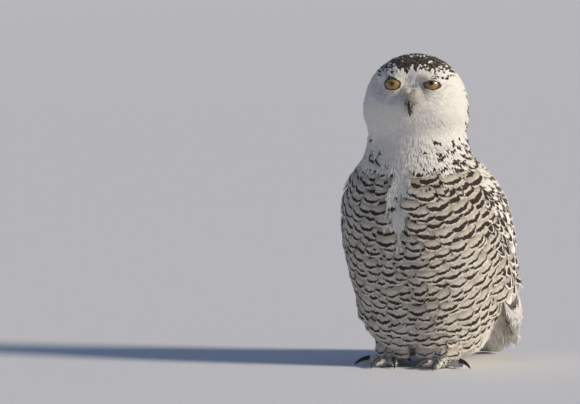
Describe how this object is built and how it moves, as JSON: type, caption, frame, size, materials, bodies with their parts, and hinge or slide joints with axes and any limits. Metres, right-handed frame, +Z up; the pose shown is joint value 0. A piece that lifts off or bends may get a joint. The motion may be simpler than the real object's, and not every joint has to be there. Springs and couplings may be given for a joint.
{
  "type": "snowy owl",
  "caption": "Life-size snowy owl that sits upright on level ground with folded wings, its face turned to its left and its tail resting on the floor.",
  "frame": {"origin": "on the floor, at the bottom centre of the whole bird's box", "axes": "+Z up, the breast towards -Y, the tail towards +Y and the bird's left towards +X"},
  "size_m": [0.2702, 0.376, 0.4841],
  "materials": {
    "white_feathers": "soft white plumage with few marks",
    "barred_feathers": "soft white plumage with wavy dark brown bars",
    "spotted_feathers": "firm white feathers with blackish brown spots and bars",
    "eye": "wet and clear over a golden yellow iris and a black pupil",
    "horn": "smooth black horn with a soft gloss"
  },
  "bodies": {
    "root": {"head": "white_feathers", "neck": "white_feathers", "trunk": "barred_feathers", "tail": "white_feathers", "bill_upper": "horn", "bill_lower": "horn", "eye_left": "eye", "wing_left": "spotted_feathers", "flight_left": "spotted_feathers", "leg_left": "white_feathers", "foot_left": "white_feathers", "claw_left_inner": "horn", "claw_left_middle": "horn", "claw_left_outer": "horn", "claw_left_hind": "horn", "eye_right": "eye", "wing_right": "spotted_feathers", "flight_right": "spotted_feathers", "leg_right": "white_feathers", "foot_right": "white_feathers", "claw_right_inner": "horn", "claw_right_middle": "horn", "claw_right_outer": "horn", "claw_right_hind": "horn"}
  },
  "joints": []
}
